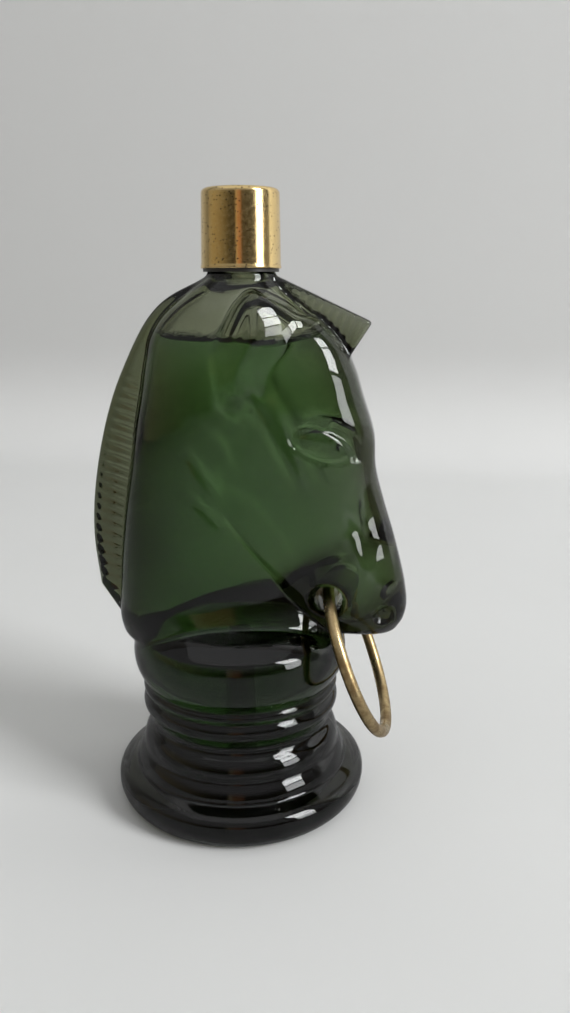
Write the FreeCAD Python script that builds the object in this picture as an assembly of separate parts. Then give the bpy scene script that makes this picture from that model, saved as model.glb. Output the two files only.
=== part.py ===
import FreeCAD, Part
import math
import os

# Horse-head aftershave bottle: glass bottle, its fill, a screw cap and a ring through the mouth.
# Millimetres. The origin is the centre of the foot on the table, +X is the way the horse looks, +Z is up.

Vec = FreeCAD.Vector
UP = Vec(0, 0, 1)
SIDEWAYS = Vec(0, 1, 0)

# Overall size
TOTAL_HEIGHT = 145.0
MOUTH_X = 1.4

# Screw finish of the bottle's mouth
THREAD_PITCH = 2.117
THREAD_RADIUS = 7.30
FINISH_RADIUS = 6.45
BORE_RADIUS = 4.25
BORE_SINK = 1.5
RIM_Z = 142.6
RIM_ROUND = 0.9
BEAD_RADIUS = 7.7
BEAD_BULGE_DEPTH = 0.4
BEAD_SLOPE = 0.5
BEAD_LOW_Z = 126.0
BEAD_TOP_Z = 127.6
FINISH_ROOT = 4.0
THREAD_START_Z = 134.0
THREAD_TURNS = 1.75
THREAD_ROOT_WIDTH = 1.15
THREAD_CREST_WIDTH = 0.45
THREAD_SINK = 0.25

# Cap: gold shell, plastic inner cap and sealing wad
CAP_LOW_Z = 128.2
CAP_RADIUS = 8.85
CAP_TOP_RADIUS = 8.60
CAP_FLARE = 0.15
CAP_FLARE_HEIGHT = 1.0
CAP_WALL = 0.35
CAP_ROUND = 1.1
INNER_RIM_DROP = 0.7
INNER_GAP = 0.03
INNER_ROOT_RADIUS = 7.65
INNER_CREST_RADIUS = 6.80
INNER_THREAD_TURNS = 2.0
INNER_THREAD_LAG = 1.5
INNER_THREAD_ROOT_WIDTH = 1.05
INNER_THREAD_CREST_WIDTH = 0.45
LINER_THICKNESS = 1.0
LINER_RADIUS = 7.2
LINER_GAP = 0.05

# Brass ring through the mouth
WIRE_RADIUS = 1.4
RING_RADIUS = 19.4
RING_LEAN_DEG = 22.0
HOLE_X = 22.6
HOLE_Z = 54.1
HOLE_RADIUS = 3.25
HOLE_FLARE_RADIUS = 5.4
HOLE_STRAIGHT = 8.8
HOLE_FLARE_END = 13.0
WIRE_ABOVE_HOLE_AXIS = 1.4

# Pedestal: radius and height of each bead and groove
PUNT_TOP = (0.0, 2.4)
PUNT_MIDDLE = (10.8, 1.8)
PUNT_EDGE = (21.5, 0.0)
FOOT_FACE_EDGE = (27.8, 0.0)
FOOT_LOW_ROUND = (30.3, 2.3)
FOOT_WIDEST = (31.0, 5.4)
FOOT_HIGH_ROUND = (30.65, 7.1)
FOOT_TOP = (29.4, 8.4)
LOWER_BAND_FOOT = (26.4, 9.5)
LOWER_BAND = (25.8, 11.6)
BAND_CREASE = (24.5, 13.8)
UPPER_BAND = (24.3, 15.9)
UPPER_BAND_TOP = (23.0, 18.7)
WAIST = (21.9, 20.6)
RING_LOW = (22.6, 22.8)
RING_BULGE = (24.2, 25.8)
RING_GROOVE = (22.9, 28.1)
BEAD_BULGE = (24.1, 29.6)
COLLAR_GROOVE = (23.3, 31.0)
COLLAR_BULGE = (26.1, 38.4)
COLLAR_SHOULDER = (25.0, 43.6)
COLLAR_DOME = (21.5, 46.4)
COLLAR_TOP = (15.0, 48.5)

# Neck, level by level: height, back, throat, half depth, squareness, narrowing to the throat
NECK_LEVELS = (
    (40.6, -25.6, 22.0, 20.0, 2.2, 0.10),
    (43.0, -27.9, 23.4, 20.4, 2.3, 0.16),
    (46.0, -28.7, 23.6, 20.4, 2.4, 0.28),
    (53.0, -28.5, 21.0, 19.8, 2.5, 0.40),
    (61.0, -27.9, 19.0, 19.2, 2.6, 0.42),
    (69.0, -27.1, 20.0, 18.7, 2.6, 0.40),
    (77.0, -26.0, 22.0, 18.3, 2.6, 0.36),
    (85.0, -24.6, 24.0, 17.8, 2.6, 0.30),
    (93.0, -22.8, 25.0, 17.1, 2.6, 0.25),
    (101.0, -20.8, 24.6, 16.2, 2.5, 0.20),
    (108.0, -18.9, 23.0, 15.0, 2.4, 0.15),
    (114.0, -16.4, 20.4, 13.4, 2.3, 0.10),
    (119.0, -12.8, 16.4, 11.4, 2.2, 0.05),
    (123.0, -8.8, 11.8, 9.2, 2.1, 0.0),
    (126.4, -6.1, 8.9, 7.5, 2.0, 0.0),
)

# Head, level by level: height, jaw, face, half depth, squareness of the jaw, narrowing to the face
HEAD_LEVELS = (
    (43.7, 21.5, 35.4, 6.6, 2.4, 0.10),
    (44.7, 19.0, 37.4, 8.6, 2.6, 0.12),
    (46.8, 17.0, 39.2, 10.1, 2.8, 0.14),
    (50.5, 14.5, 40.5, 11.3, 3.2, 0.16),
    (55.0, 11.5, 40.2, 12.6, 3.8, 0.26),
    (61.0, 7.5, 38.9, 14.6, 4.4, 0.40),
    (68.0, 2.0, 37.0, 16.6, 5.0, 0.50),
    (76.0, -3.6, 34.5, 17.5, 5.0, 0.52),
    (84.0, -4.0, 32.4, 17.2, 4.6, 0.48),
    (92.0, -1.6, 31.8, 16.4, 4.0, 0.42),
    (100.0, 2.0, 29.3, 15.2, 3.2, 0.36),
    (107.0, 3.5, 27.0, 13.8, 2.6, 0.31),
    (113.0, 4.0, 24.0, 12.2, 2.3, 0.26),
    (118.0, 4.0, 19.0, 10.0, 2.1, 0.20),
)
FACE_SQUARE = 2.2

# Hollow, level by level: height, back, front, half depth, squareness, narrowing to the front
HOLLOW_LEVELS = (
    (8.5, -10.0, 10.0, 10.0, 2.0, 0.0),
    (9.6, -15.0, 15.0, 15.0, 2.0, 0.0),
    (12.5, -18.2, 18.2, 18.2, 2.0, 0.0),
    (19.5, -18.4, 18.4, 18.4, 2.0, 0.0),
    (27.0, -19.6, 19.4, 19.4, 2.0, 0.0),
    (35.0, -21.6, 19.8, 19.6, 2.0, 0.05),
    (43.0, -23.6, 16.8, 17.4, 2.1, 0.18),
    (51.0, -24.8, 14.4, 15.7, 2.3, 0.30),
    (58.0, -24.5, 14.4, 14.8, 2.4, 0.32),
    (62.0, -24.0, 21.5, 14.6, 2.4, 0.38),
    (65.5, -23.7, 29.0, 14.8, 2.5, 0.45),
    (69.5, -23.2, 31.6, 15.0, 2.6, 0.50),
    (75.0, -22.4, 30.4, 14.9, 2.6, 0.50),
    (83.0, -21.0, 28.6, 14.5, 2.6, 0.46),
    (91.0, -19.4, 27.6, 13.7, 2.5, 0.40),
    (99.0, -17.4, 25.4, 12.8, 2.4, 0.32),
    (107.0, -15.0, 22.2, 11.7, 2.3, 0.23),
    (113.0, -12.2, 18.6, 10.2, 2.2, 0.15),
    (118.0, -8.4, 13.6, 8.2, 2.1, 0.08),
    (122.0, -4.6, 8.2, 5.9, 2.0, 0.0),
    (125.0, -2.9, 5.7, 4.3, 2.0, 0.0),
)
LEVEL_POINTS = 20
LIQUID_TOP_Z = 112.0
LIQUID_GAP = 0.15

# Mane fin: points of its outer edge from the shoulder down, and its ribs
MANE_EDGE = (
    (-5.0, 127.0),
    (-16.8, 120.7),
    (-26.3, 105.9),
    (-32.8, 86.4),
    (-35.3, 66.0),
    (-34.2, 53.4),
)
MANE_FOOT = ((-29.0, 45.6), (-24.5, 45.6))
MANE_INNER = ((-17.5, 62.0), (-14.0, 96.0), (-4.0, 118.0))
MANE_HALF = 3.7
MANE_RIB_DEPTH = 0.5
MANE_RIB_PITCH = 2.7
MANE_RIB_THICKNESS = 1.5
MANE_RIB_COUNT = 19
MANE_RIB_LOW_Z = 52.5

# Forelock: a roof-shaped tuft from the mouth of the bottle to a tip above the brow
FORELOCK_BACK = (8.0, 127.4)
FORELOCK_TIP = (30.9, 116.8)
FORELOCK_BACK_EDGE = (11.0, 118.0)
FORELOCK_FRONT_EDGE = (25.6, 108.6)
FORELOCK_BACK_HALF = 6.5
FORELOCK_FRONT_HALF = 5.0

# Ears, level by level: height, middle, half width, outermost reach, half thickness
EAR_LEVELS = (
    (101.0, 6.4, 1.4, 16.2, 2.0),
    (107.0, 8.2, 4.6, 16.7, 3.0),
    (112.5, 8.6, 7.0, 16.2, 4.0),
    (117.5, 6.8, 4.2, 14.9, 4.0),
    (122.0, 5.3, 0.9, 13.2, 1.6),
)

# Eyes, nostrils
EYE_X = 20.9
EYE_Z = 90.8
EYE_Y = 11.1
EYE_HALF_LENGTH = 6.8
EYE_HALF_HEIGHT = 3.4
EYE_BULGE = 2.0
EYE_TILT_DEG = 22.0
NOSTRIL_X = 36.6
NOSTRIL_Y = 9.4
NOSTRIL_Z = 52.6
NOSTRIL_RADIUS = 2.6

# Derived values
CORNER = 1 - math.sqrt(0.5)
INNER_TOP_Z = TOTAL_HEIGHT - CAP_WALL - INNER_GAP
LINER_LOW_Z = RIM_Z + LINER_GAP
LINER_TOP_Z = LINER_LOW_Z + LINER_THICKNESS
RING_LEAN = math.radians(RING_LEAN_DEG)


def spin(edges):
    """Solid of revolution about the vertical axis from a closed list of edges in the XZ plane."""
    face = Part.Face(Part.Wire(edges))
    return face.revolve(Vec(0, 0, 0), UP, 360)


def line(a, b):
    """Straight edge in the XZ plane."""
    return Part.LineSegment(Vec(a[0], 0, a[1]), Vec(b[0], 0, b[1])).toShape()


def arc(a, middle, b):
    """Circular edge through three points in the XZ plane."""
    start, through, end = (Vec(p[0], 0, p[1]) for p in (a, middle, b))
    return Part.Arc(start, through, end).toShape()


def level_wire(z, back, front, depth, square, narrow=0.0, inset=0.0, front_square=None):
    """Closed smooth outline at one height: a rounded box that narrows towards its front."""
    middle = (back + front) / 2
    half = (front - back) / 2 - inset
    points = []
    for i in range(LEVEL_POINTS):
        turn = 2 * math.pi * i / LEVEL_POINTS
        power = 2 / (front_square if front_square and math.cos(turn) > 0 else square)
        along = math.copysign(abs(math.cos(turn)) ** power, math.cos(turn))
        across = math.copysign(abs(math.sin(turn)) ** power, math.sin(turn))
        taper = 1 - narrow * (1 + along) / 2
        points.append(Vec(middle + half * along, (depth - inset) * across * taper, z))
    curve = Part.BSplineCurve()
    curve.interpolate(Points=points, PeriodicFlag=True, Parameters=list(range(LEVEL_POINTS + 1)))
    return Part.Wire(curve.toShape())


def loft_levels(levels, inset=0.0, front_square=None):
    """Smooth solid through a table of levels."""
    wires = [level_wire(*level, inset=inset, front_square=front_square) for level in levels]
    return Part.makeLoft(wires, True, False)


def slab(low, high):
    """Everything between two heights, wider than the bottle."""
    corner = Vec(-TOTAL_HEIGHT / 2, -TOTAL_HEIGHT / 2, low)
    return Part.makeBox(TOTAL_HEIGHT, TOTAL_HEIGHT, high - low, corner)


def mirrored(shape):
    """The same shape on the other side of the horse."""
    return shape.mirror(Vec(0, 0, 0), SIDEWAYS)


def pedestal():
    """Stepped round foot with its beads, and the collar that the head stands on."""
    core_top = (0, COLLAR_TOP[1])
    edges = [
        arc(PUNT_TOP, PUNT_MIDDLE, PUNT_EDGE),
        line(PUNT_EDGE, FOOT_FACE_EDGE),
        arc(FOOT_FACE_EDGE, FOOT_LOW_ROUND, FOOT_WIDEST),
        arc(FOOT_WIDEST, FOOT_HIGH_ROUND, FOOT_TOP),
        line(FOOT_TOP, LOWER_BAND_FOOT),
        arc(LOWER_BAND_FOOT, LOWER_BAND, BAND_CREASE),
        arc(BAND_CREASE, UPPER_BAND, UPPER_BAND_TOP),
        arc(UPPER_BAND_TOP, WAIST, RING_LOW),
        arc(RING_LOW, RING_BULGE, RING_GROOVE),
        arc(RING_GROOVE, BEAD_BULGE, COLLAR_GROOVE),
        arc(COLLAR_GROOVE, COLLAR_BULGE, COLLAR_SHOULDER),
        arc(COLLAR_SHOULDER, COLLAR_DOME, COLLAR_TOP),
        line(COLLAR_TOP, core_top),
        line(core_top, PUNT_TOP),
    ]
    return spin(edges)


def mane_plate(half, inset):
    """Flat plate with the mane's outline, its outer edge drawn in by the inset."""
    edge = [Vec(x + inset, -half, z) for x, z in MANE_EDGE]
    foot = [Vec(x, -half, z + inset) for x, z in MANE_FOOT]
    inner = [Vec(x, -half, z) for x, z in MANE_INNER]
    curve = Part.BSplineCurve()
    curve.interpolate(Points=edge)
    corners = [edge[-1]] + foot + inner + [edge[0]]
    sides = [Part.LineSegment(a, b).toShape() for a, b in zip(corners, corners[1:])]
    face = Part.Face(Part.Wire([curve.toShape()] + sides))
    return face.extrude(SIDEWAYS * (2 * half))


def mane():
    """Fin along the back of the neck, ribbed across its lower part."""
    full = mane_plate(MANE_HALF, 0.0)
    core = mane_plate(MANE_HALF - MANE_RIB_DEPTH, MANE_RIB_DEPTH)
    ribbed_top = MANE_RIB_LOW_Z + MANE_RIB_COUNT * MANE_RIB_PITCH
    bands = [(ribbed_top, TOTAL_HEIGHT)]
    for i in range(MANE_RIB_COUNT):
        z = MANE_RIB_LOW_Z + i * MANE_RIB_PITCH
        bands.append((z, z + MANE_RIB_THICKNESS))
    return core.fuse([full.common(slab(low, high)) for low, high in bands])


def forelock():
    """Roof-shaped tuft of hair that ends in a tip over the brow."""

    def triangle(apex, edge, half):
        corners = [
            Vec(apex[0], 0, apex[1]),
            Vec(edge[0], -half, edge[1]),
            Vec(edge[0], half, edge[1]),
        ]
        return Part.makePolygon(corners + corners[:1])

    back = triangle(FORELOCK_BACK, FORELOCK_BACK_EDGE, FORELOCK_BACK_HALF)
    front = triangle(FORELOCK_TIP, FORELOCK_FRONT_EDGE, FORELOCK_FRONT_HALF)
    return Part.makeLoft([back, front], True, True)


def ear():
    """One ear, laid against the side of the head, its tip standing free."""
    wires = []
    for z, middle, half_width, reach, half_thick in EAR_LEVELS:
        outline = level_wire(z, middle - half_width, middle + half_width, half_thick, 2.0)
        outline.translate(Vec(0, half_thick - reach, 0))
        wires.append(outline)
    return Part.makeLoft(wires, True, False)


def eye():
    """One almond-shaped eye, standing a little proud of the face."""
    ball = Part.makeSphere(1.0)
    stretch = FreeCAD.Matrix()
    stretch.scale(EYE_HALF_LENGTH, EYE_BULGE, EYE_HALF_HEIGHT)
    almond = ball.transformGeometry(stretch)
    almond.rotate(Vec(0, 0, 0), SIDEWAYS, EYE_TILT_DEG)
    almond.translate(Vec(EYE_X, -EYE_Y, EYE_Z))
    return almond


def mouth_hole():
    """Hole across the mouth for the ring, flared at both ends so that the curved wire can swing."""
    half = [
        (0, 0),
        (HOLE_RADIUS, 0),
        (HOLE_RADIUS, HOLE_STRAIGHT),
        (HOLE_FLARE_RADIUS, HOLE_FLARE_END),
        (HOLE_FLARE_RADIUS, 2 * HOLE_FLARE_END),
        (0, 2 * HOLE_FLARE_END),
    ]
    sides = [line(a, b) for a, b in zip(half, half[1:] + half[:1])]
    one = spin(sides)
    both = one.fuse(one.mirror(Vec(0, 0, 0), UP)).removeSplitter()
    both.rotate(Vec(0, 0, 0), Vec(1, 0, 0), 90)
    both.translate(Vec(HOLE_X, 0, HOLE_Z))
    return both


def helix_thread(base_radius, tip_radius, root_width, crest_width, start_z, turns):
    """Helical ridge from a base radius to a tip radius, right handed, about the mouth's axis."""
    base = base_radius + math.copysign(THREAD_SINK, base_radius - tip_radius)
    corners = [
        Vec(base, 0, start_z - root_width / 2),
        Vec(tip_radius, 0, start_z - crest_width / 2),
        Vec(tip_radius, 0, start_z + crest_width / 2),
        Vec(base, 0, start_z + root_width / 2),
    ]
    profile = Part.makePolygon(corners + corners[:1])
    path = Part.makeHelix(THREAD_PITCH, THREAD_PITCH * turns, base_radius)
    path.translate(UP * start_z)
    ridge = Part.Wire(path.Edges).makePipeShell([profile], True, True)
    ridge.translate(Vec(MOUTH_X, 0, 0))
    return ridge


def finish():
    """Mouth of the bottle: bead, plain wall, rounded rim and screw thread."""
    root = BEAD_RADIUS - BEAD_BULGE_DEPTH
    low = BEAD_LOW_Z - FINISH_ROOT
    wall_low = (FINISH_RADIUS, BEAD_TOP_Z + BEAD_SLOPE)
    wall_top = (FINISH_RADIUS, RIM_Z - RIM_ROUND)
    turn = RIM_ROUND * CORNER
    rim_edge = (FINISH_RADIUS - RIM_ROUND, RIM_Z)
    edges = [
        line((0, low), (root, low)),
        line((root, low), (root, BEAD_LOW_Z)),
        arc((root, BEAD_LOW_Z), (BEAD_RADIUS, (BEAD_LOW_Z + BEAD_TOP_Z) / 2), (root, BEAD_TOP_Z)),
        line((root, BEAD_TOP_Z), wall_low),
        line(wall_low, wall_top),
        arc(wall_top, (FINISH_RADIUS - turn, RIM_Z - turn), rim_edge),
        line(rim_edge, (0, RIM_Z)),
        line((0, RIM_Z), (0, low)),
    ]
    body = spin(edges)
    body.translate(Vec(MOUTH_X, 0, 0))
    thread = helix_thread(FINISH_RADIUS, THREAD_RADIUS, THREAD_ROOT_WIDTH, THREAD_CREST_WIDTH,
                          THREAD_START_Z, THREAD_TURNS)
    return body.fuse(thread)


def hollow(inset=0.0):
    """Inside of the bottle below its bore."""
    return loft_levels(HOLLOW_LEVELS, inset)


def bore():
    """Straight hole through the mouth into the hollow."""
    low = HOLLOW_LEVELS[-1][0] - BORE_SINK
    return Part.makeCylinder(BORE_RADIUS, TOTAL_HEIGHT - low, Vec(MOUTH_X, 0, low))


def glass_bottle():
    """The whole glass: foot, neck, head, mane, forelock, ears and eyes, less its hollow and holes."""
    one_ear = ear()
    one_eye = eye()
    additions = [
        loft_levels(NECK_LEVELS),
        loft_levels(HEAD_LEVELS, front_square=FACE_SQUARE),
        mane(),
        forelock(),
        one_ear,
        mirrored(one_ear),
        one_eye,
        mirrored(one_eye),
        finish(),
    ]
    outside = pedestal()
    for piece in additions:
        outside = outside.fuse(piece)
    nostril = Part.makeSphere(NOSTRIL_RADIUS, Vec(NOSTRIL_X, -NOSTRIL_Y, NOSTRIL_Z))
    glass = outside
    for void in (hollow(), bore(), mouth_hole(), nostril, mirrored(nostril)):
        glass = glass.cut(void)
    return glass


def aftershave_liquid():
    """The fill, level in the hollow, just clear of the glass."""
    floor = HOLLOW_LEVELS[0][0] + LIQUID_GAP
    return hollow(LIQUID_GAP).common(slab(floor, LIQUID_TOP_Z))


def cap_shell():
    """Drawn gold cup: slightly tapered, rounded at the top and flared at its rim."""
    roof = TOTAL_HEIGHT - CAP_WALL
    inner_radius = CAP_TOP_RADIUS - CAP_WALL
    inner_round = CAP_ROUND - CAP_WALL
    inner_turn = inner_round * CORNER
    roof_edge = (inner_radius - inner_round, roof)
    inner_top = (inner_radius, roof - inner_round)
    inner_low = (CAP_RADIUS - CAP_WALL, CAP_LOW_Z)
    flare = (CAP_RADIUS + CAP_FLARE, CAP_LOW_Z)
    wall_low = (CAP_RADIUS, CAP_LOW_Z + CAP_FLARE_HEIGHT)
    wall_top = (CAP_TOP_RADIUS, TOTAL_HEIGHT - CAP_ROUND)
    turn = CAP_ROUND * CORNER
    top_edge = (CAP_TOP_RADIUS - CAP_ROUND, TOTAL_HEIGHT)
    edges = [
        line((0, roof), roof_edge),
        arc(roof_edge, (inner_radius - inner_turn, roof - inner_turn), inner_top),
        line(inner_top, inner_low),
        line(inner_low, flare),
        line(flare, wall_low),
        line(wall_low, wall_top),
        arc(wall_top, (CAP_TOP_RADIUS - turn, TOTAL_HEIGHT - turn), top_edge),
        line(top_edge, (0, TOTAL_HEIGHT)),
        line((0, TOTAL_HEIGHT), (0, roof)),
    ]
    cup = spin(edges)
    cup.translate(Vec(MOUTH_X, 0, 0))
    return cup


def cap_inner():
    """Plastic screw cap inside the shell, with the female thread and a rim that shows below the gold."""
    low = CAP_LOW_Z - INNER_RIM_DROP
    low_radius = CAP_RADIUS - CAP_WALL - INNER_GAP
    top_radius = CAP_TOP_RADIUS - CAP_WALL - INNER_GAP
    roof = LINER_TOP_Z + LINER_GAP
    corners = [
        (0, roof),
        (INNER_ROOT_RADIUS, roof),
        (INNER_ROOT_RADIUS, low),
        (low_radius, low),
        (low_radius, CAP_LOW_Z),
        (top_radius, INNER_TOP_Z - CAP_ROUND),
        (top_radius - CAP_ROUND, INNER_TOP_Z),
        (0, INNER_TOP_Z),
    ]
    body = spin([line(a, b) for a, b in zip(corners, corners[1:] + corners[:1])])
    body.translate(Vec(MOUTH_X, 0, 0))
    start = THREAD_START_Z - INNER_THREAD_LAG * THREAD_PITCH
    thread = helix_thread(INNER_ROOT_RADIUS, INNER_CREST_RADIUS, INNER_THREAD_ROOT_WIDTH,
                          INNER_THREAD_CREST_WIDTH, start, INNER_THREAD_TURNS)
    return body.fuse(thread)


def cap_liner():
    """Round sealing wad between the rim of the glass and the cap's roof."""
    return Part.makeCylinder(LINER_RADIUS, LINER_THICKNESS, Vec(MOUTH_X, 0, LINER_LOW_Z))


def mouth_ring():
    """Brass wire ring that hangs through the mouth and leans forward."""
    reach = RING_RADIUS - WIRE_ABOVE_HOLE_AXIS
    centre = Vec(HOLE_X + reach * math.sin(RING_LEAN), 0, HOLE_Z - reach * math.cos(RING_LEAN))
    axis = Vec(math.cos(RING_LEAN), 0, math.sin(RING_LEAN))
    return Part.makeTorus(RING_RADIUS, WIRE_RADIUS, centre, axis)


def main():
    os.makedirs("parts", exist_ok=True)
    nodes = {
        "glass_bottle": glass_bottle,
        "aftershave_liquid": aftershave_liquid,
        "cap_shell": cap_shell,
        "cap_inner": cap_inner,
        "cap_liner": cap_liner,
        "mouth_ring": mouth_ring,
    }
    for name, make in nodes.items():
        shape = make().Solids[0]
        print(name, shape.ShapeType, "solids", len(shape.Solids), "valid", shape.isValid(),
              "volume ml %.2f" % (shape.Volume / 1000), "faces", len(shape.Faces))
        shape.exportStep("parts/%s.step" % name)


main()
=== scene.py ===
import math

import bpy
import numpy as np
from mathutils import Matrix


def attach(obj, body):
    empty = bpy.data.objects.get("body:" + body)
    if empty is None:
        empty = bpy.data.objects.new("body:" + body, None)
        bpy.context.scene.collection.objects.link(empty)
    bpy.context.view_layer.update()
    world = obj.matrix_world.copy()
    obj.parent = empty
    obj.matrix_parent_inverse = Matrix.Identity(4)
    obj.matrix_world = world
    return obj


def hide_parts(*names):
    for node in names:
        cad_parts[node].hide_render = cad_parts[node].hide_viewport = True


# Horse-head aftershave bottle. Shapes are worked out in millimetres, in the frame of the CAD model.
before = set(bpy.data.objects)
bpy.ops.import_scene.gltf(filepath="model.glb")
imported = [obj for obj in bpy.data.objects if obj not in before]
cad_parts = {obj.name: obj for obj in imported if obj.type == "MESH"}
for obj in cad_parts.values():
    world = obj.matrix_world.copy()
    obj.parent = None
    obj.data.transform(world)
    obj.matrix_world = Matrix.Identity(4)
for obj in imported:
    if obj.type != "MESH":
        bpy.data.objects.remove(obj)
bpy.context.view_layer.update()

MM = 0.001
MOUTH_X = 1.4

# Clear stuff: refraction, tint, and how strongly a metre of it takes up light
GLASS_IOR = 1.5
GLASS_TINT = (0.21, 0.265, 0.0, 1)
GLASS_DENSITY = 320.0
LIQUID_IOR = 1.36
LIQUID_TINT = (0.242, 0.645, 0.12, 1)
LIQUID_DENSITY = 73.0

# Mould seams in metres: core and edge, where the upright seam ends, and the height of the foot's seam
SEAM_EDGE = (0.00008, 0.0003)
SEAM_TOP = (0.030, 0.032)
FOOT_SEAM_Z = 0.0026

# Each span below a table is the middle height and the half height of that form
# Neck: height, back, throat, half depth, squareness, narrowing to the throat
NECK_LEVELS = (
    (40.6, -25.6, 22.0, 17.4, 2.2, 0.10),
    (43.0, -27.9, 23.4, 19.2, 2.3, 0.16),
    (46.0, -28.7, 23.6, 20.2, 2.4, 0.28),
    (53.0, -28.5, 21.0, 19.8, 2.5, 0.40),
    (61.0, -27.9, 19.0, 19.2, 2.6, 0.42),
    (69.0, -27.1, 20.0, 18.7, 2.6, 0.40),
    (77.0, -26.0, 22.0, 18.3, 2.6, 0.36),
    (85.0, -24.6, 24.0, 17.8, 2.6, 0.30),
    (93.0, -23.5, 25.0, 17.1, 2.6, 0.25),
    (101.0, -22.0, 24.6, 16.2, 2.5, 0.20),
    (108.0, -20.8, 23.0, 15.0, 2.4, 0.15),
    (114.0, -19.4, 20.4, 13.4, 2.3, 0.10),
    (119.0, -16.0, 16.4, 11.4, 2.2, 0.05),
    (123.0, -11.2, 11.8, 9.2, 2.1, 0.0),
    (126.4, -6.6, 8.9, 7.5, 2.0, 0.0),
)
NECK_SPAN = (83.5, 42.9)
# Head: height, jaw, face, half depth, squareness of the jaw, narrowing to the face
HEAD_LEVELS = (
    (43.7, 21.5, 35.4, 4.2, 2.4, 0.10),
    (44.7, 19.0, 37.4, 6.0, 2.6, 0.12),
    (46.8, 17.0, 39.2, 8.2, 2.8, 0.14),
    (50.5, 14.5, 40.5, 10.6, 3.2, 0.16),
    (55.0, 11.5, 40.2, 12.6, 3.8, 0.26),
    (61.0, 7.5, 38.9, 14.6, 4.4, 0.40),
    (68.0, 2.0, 37.0, 16.6, 5.0, 0.50),
    (76.0, -3.6, 34.5, 17.5, 5.0, 0.52),
    (84.0, -4.0, 32.4, 17.2, 4.6, 0.48),
    (92.0, -1.6, 31.8, 16.4, 4.0, 0.42),
    (100.0, 2.0, 29.3, 15.2, 3.2, 0.36),
    (107.0, 3.5, 27.0, 13.8, 2.6, 0.31),
    (113.0, 4.0, 24.0, 12.2, 2.3, 0.26),
    (118.0, 4.0, 19.0, 10.0, 2.1, 0.20),
)
HEAD_SPAN = (80.9, 37.2)
FACE_SQUARE = 2.8
# Hollow: height, back, front, half depth, squareness, narrowing to the front
HOLLOW_LEVELS = (
    (8.5, -10.0, 10.0, 10.0, 2.0, 0.0),
    (9.6, -15.0, 15.0, 15.0, 2.0, 0.0),
    (12.5, -18.2, 18.2, 18.2, 2.0, 0.0),
    (19.5, -18.4, 18.4, 18.4, 2.0, 0.0),
    (27.0, -19.6, 19.4, 19.4, 2.0, 0.0),
    (35.0, -21.6, 19.8, 19.6, 2.0, 0.05),
    (43.0, -23.6, 16.8, 17.4, 2.1, 0.18),
    (51.0, -24.8, 14.4, 15.7, 2.3, 0.30),
    (58.0, -24.5, 14.4, 14.8, 2.4, 0.32),
    (62.0, -24.0, 21.5, 14.6, 2.4, 0.20),
    (65.5, -23.7, 29.0, 14.8, 2.5, 0.22),
    (69.5, -23.2, 31.6, 15.0, 2.6, 0.22),
    (75.0, -22.4, 30.4, 14.9, 2.6, 0.22),
    (83.0, -21.0, 28.6, 14.5, 2.6, 0.20),
    (91.0, -19.4, 27.6, 13.7, 2.5, 0.18),
    (99.0, -19.0, 25.4, 12.8, 2.4, 0.14),
    (107.0, -18.2, 22.2, 12.2, 2.3, 0.10),
    (113.0, -17.2, 18.6, 11.0, 2.2, 0.15),
    (118.0, -13.6, 13.6, 9.0, 2.1, 0.08),
    (122.0, -8.4, 8.8, 6.6, 2.0, 0.0),
    (125.0, -2.9, 5.7, 4.3, 2.0, 0.0),
)
HOLLOW_SPAN = (66.75, 58.25)

# Pedestal: arcs and lines as radius and height, each arc through three points
PEDESTAL = (
    ((0.0, 2.4), (10.8, 1.8), (21.5, 0.0)),
    ((21.5, 0.0), (27.8, 0.0)),
    ((27.8, 0.0), (30.3, 2.3), (31.0, 5.4)),
    ((31.0, 5.4), (30.65, 7.1), (29.4, 8.4)),
    ((29.4, 8.4), (26.4, 9.5)),
    ((26.4, 9.5), (25.8, 11.6), (24.5, 13.8)),
    ((24.5, 13.8), (24.3, 15.9), (23.0, 18.7)),
    ((23.0, 18.7), (21.9, 20.6), (22.6, 22.8)),
    ((22.6, 22.8), (24.2, 25.8), (22.9, 28.1)),
    ((22.9, 28.1), (24.1, 29.6), (23.3, 31.0)),
    ((23.3, 31.0), (26.1, 38.4), (25.0, 43.6)),
    ((25.0, 43.6), (21.5, 46.4), (15.0, 48.5)),
    ((15.0, 48.5), (0.0, 48.5)),
)

# Mane fin: its outer edge from the shoulder down, its foot, and where it runs inside the neck
MANE_EDGE = ((-5.0, 127.0), (-16.8, 120.7), (-26.3, 105.9), (-32.8, 86.4), (-35.3, 66.0), (-34.2, 53.4))
MANE_INSIDE = ((-29.0, 45.6), (-20.0, 45.6), (-15.0, 62.0), (-11.0, 96.0), (-2.0, 116.0), (2.0, 124.0))
MANE_HALF = 4.0
MANE_WEB_HALF = 3.3
MANE_ROUND = 2.0
MANE_RIM = (-6.5, -1.5)
MANE_RIB_PITCH = 2.7
MANE_RIB_TILT = 0.35
MANE_RIB_WIDTH = 0.6
MANE_RIB_HEIGHT = 0.28
MANE_RIB_TOP = (100.0, 108.0)
MANE_RIB_RISE = (0.5, 3.0)

# Least glass between the hollow and its neighbours
EAR_WALL = 3.2
MUZZLE_HOLLOW = ((27.0, 0.0, 58.0), (10.0, 8.2, 9.6))
TUNNEL_WALL = 1.6
LEAST_WALL = 2.5

# Fillets where forms meet
NECK_FILLET = 0.6
EAR_FILLET = 1.6
FORELOCK_FILLET = 0.7
MANE_FILLET = 0.9
STAND_FILLET = 1.0
FINISH_FILLET = 0.6

# Nostril: a shallow dent on either side
NOSTRIL = (36.0, 9.2, 50.4)
NOSTRIL_RADIUS = 3.0

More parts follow.
